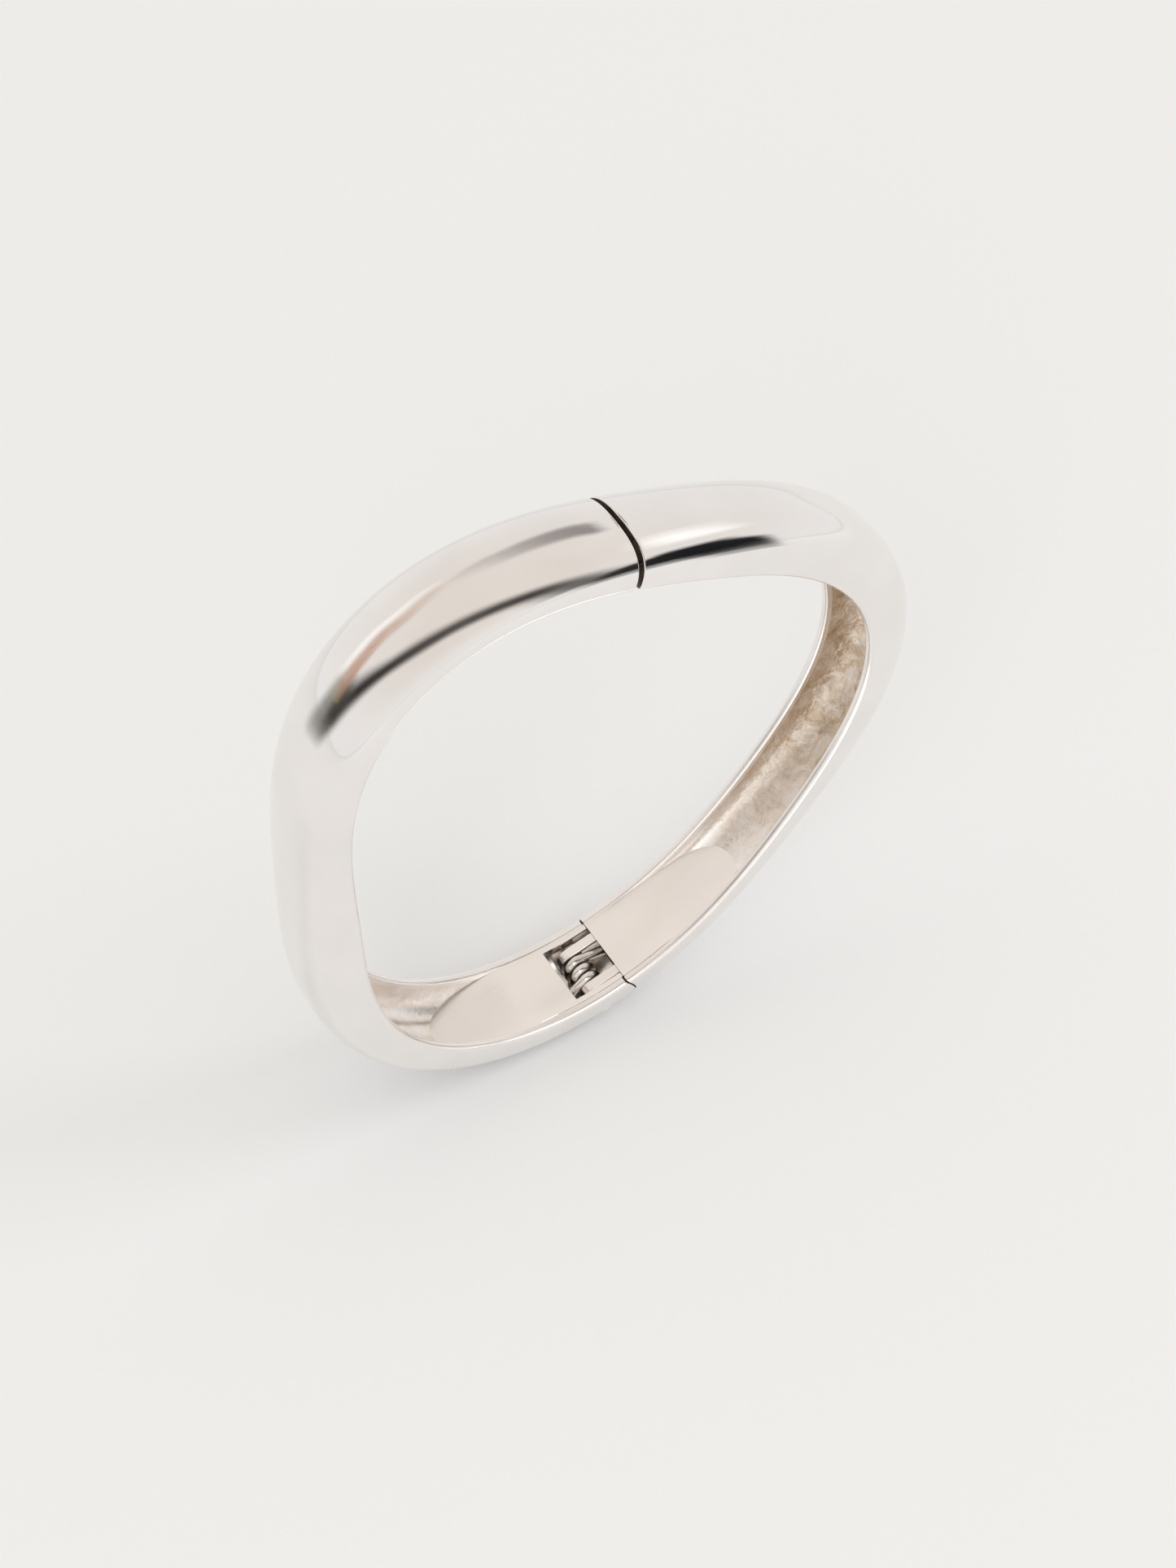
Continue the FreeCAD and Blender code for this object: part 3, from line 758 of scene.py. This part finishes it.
reflection_card("dark_arch", (0.040, 0.034, 0.031), [
    (-180, 108, -24, 24, 0.0), (-205, 128, -10, 30, 0.60), (-240, 130, 40, 42, 0.93),
    (-228, 112, 115, 46, 1.0), (-195, 78, 189, 44, 0.98), (-133, 33, 249, 60, 0.94),
    (-60, -10, 276, 64, 0.92), (10, -62, 272, 68, 0.95), (73, -114, 239, 72, 0.97),
    (112, -162, 176, 78, 0.85), (126, -196, 108, 80, 0.85), (130, -202, 60, 60, 0.0)], 0.9)
reflection_card("black_block", (0.012, 0.012, 0.014), [
    (146, -206, 10, 66, 0.3), (164, -186, 76, 66, 1.0), (176, -168, 96, 66, 1.0),
    (182, -160, 100, 62, 1.0), (189, -156, 99, 56, 1.0), (195, -158, 88, 46, 1.0),
    (194, -168, 64, 36, 1.0), (187, -182, 28, 30, 0.9), (175, -188, -20, 22, 0.5),
    (166, -185, -56, 20, 0.0)], 0.5)
reflection_card("black_block_top", (0.012, 0.012, 0.014), [
    (160, -195, 50, 30, 0.0), (180, -165, 98, 30, 1.0), (193, -125, 130, 30, 1.0),
    (200, -95, 152, 26, 0.0)], 0.6)
reflection_card("window_glow", (1.0, 0.99, 0.98), [
    (205, -50, 150, 40, 0.0), (200, -20, 170, 44, 0.8), (196, 15, 186, 44, 0.8),
    (190, 80, 180, 36, 0.0)], 1.0, 1.25)
reflection_card("front_glint", (1.0, 1.0, 1.0), [
    (0, -23, -15, 2, 0.0), (3, -23, -15, 4, 1.0), (12, -23, -13, 4, 1.0), (15, -23, -12, 2, 0.0)],
    0.4, 3.0)
reflection_card("wall_glint", (1.0, 1.0, 0.99), [
    (-7, -8, -8, 3, 0.0), (-6.6, -10, -10.5, 5, 0.8), (-3.8, -15.5, -15, 6, 1.0),
    (-0.8, -19.5, -20, 6, 1.0), (3, -21, -24, 4, 0.0)], 0.5, 1.9)
reflection_card("plate_fill", (0.86, 0.815, 0.765), [
    (-1.8, 9.7, -9, 7, 0.0), (-1.6, 9.7, -13, 8, 0.95), (-1.5, 9.7, -23, 8, 0.95),
    (-1.5, 9.7, -27, 7, 0.0)], 0.5)
reflection_card("back_edge_grey", (0.20, 0.17, 0.17), [
    (155, 142, 160, 14, 0.0), (148, 144, 169, 18, 0.85), (135, 150, 176, 17, 0.80),
    (107, 152, 194, 15, 0.70), (64, 153, 215, 12, 0.52), (9, 156, 226, 9, 0.28),
    (-30, 155, 228, 5, 0.0)], 0.8)
reflection_card("back_edge_orange", (0.50, 0.25, 0.14), [
    (20, 154, 228, 3, 0.0), (-50, 152, 222, 5, 0.30), (-113, 150, 206, 6, 0.55),
    (-180, 150, 150, 8, 0.75), (-201, 149, 120, 10, 0.80), (-218, 146, 85, 10, 0.6),
    (-232, 143, 40, 8, 0.0)], 0.8)
reflection_card("back_edge_light", (1.0, 0.98, 0.95), [
    (-20, 166, 226, 6, 0.0), (-60, 166, 216, 7, 0.5), (-118, 164, 198, 8, 0.8),
    (-183, 164, 138, 10, 0.8), (-205, 163, 104, 10, 0.5), (-220, 160, 70, 8, 0.0)], 0.8, 1.12)
reflection_card("green_patch", (0.10, 0.12, 0.05), [
    (-205, 147, 125, 14, 0.0), (-223, 140, 90, 32, 0.85), (-236, 136, 35, 34, 0.85),
    (-235, 138, -15, 24, 0.0)], 0.9)

world = bpy.data.worlds.new("tent")
scene.world = world
world.use_nodes = True
wn, wl = world.node_tree.nodes, world.node_tree.links
background = wn["Background"]
where = wn.new("ShaderNodeTexCoord")
split = wn.new("ShaderNodeSeparateXYZ")
wl.new(where.outputs["Generated"], split.inputs["Vector"])
sky = wn.new("ShaderNodeValToRGB")
sky.color_ramp.elements.new(0.35)
for element, (place, tone) in zip(sky.color_ramp.elements, (
        (0.0, (0.875, 0.865, 0.860)), (0.35, (0.870, 0.845, 0.825)),
        (0.85, (0.815, 0.765, 0.715)))):
    element.position = place
    element.color = (*tone, 1.0)
wl.new(split.outputs["Z"], sky.inputs["Fac"])
wl.new(sky.outputs["Color"], background.inputs["Color"])
background.inputs["Strength"].default_value = 1.0


def soft_light(name, spot):
    """Square lamp aimed at the bracelet; the metal shows only the cards and the tent."""
    lamp = bpy.data.lights.new(name, "AREA")
    lamp.size = 0.55
    lamp.energy = 1.9
    obj = bpy.data.objects.new(name, lamp)
    bpy.context.collection.objects.link(obj)
    obj.location = spot
    obj.rotation_euler = (-Vector(spot)).to_track_quat("-Z", "Y").to_euler()
    obj.visible_glossy = False


soft_light("right_box", (1.0, -0.35, 0.85))
soft_light("left_box", (-0.75, -0.80, 0.85))

# ---- camera ------------------------------------------------------------------------------------

ELEVATION, TURN, ROLL = math.radians(48.9), math.radians(31.1), math.radians(0.5)
CAMERA_DISTANCE = 0.396
back = Vector((-math.sin(TURN) * math.cos(ELEVATION), -math.cos(TURN) * math.cos(ELEVATION),
               math.sin(ELEVATION)))
right = Vector((math.cos(TURN), -math.sin(TURN), 0.0))
up = back.cross(right)
side = math.cos(ROLL) * right + math.sin(ROLL) * up
top = -math.sin(ROLL) * right + math.cos(ROLL) * up
camera = bpy.data.cameras.new("camera")
camera.lens = 100.8
camera.sensor_width = 36.0
camera.shift_x, camera.shift_y = -0.010379, -0.018163
camera.clip_start = 0.01
camera.clip_end = 20.0
eye = bpy.data.objects.new("camera", camera)
bpy.context.collection.objects.link(eye)
pose = Matrix((side, top, back)).transposed().to_4x4()
pose.translation = back * CAMERA_DISTANCE
eye.matrix_world = pose
scene.camera = eye
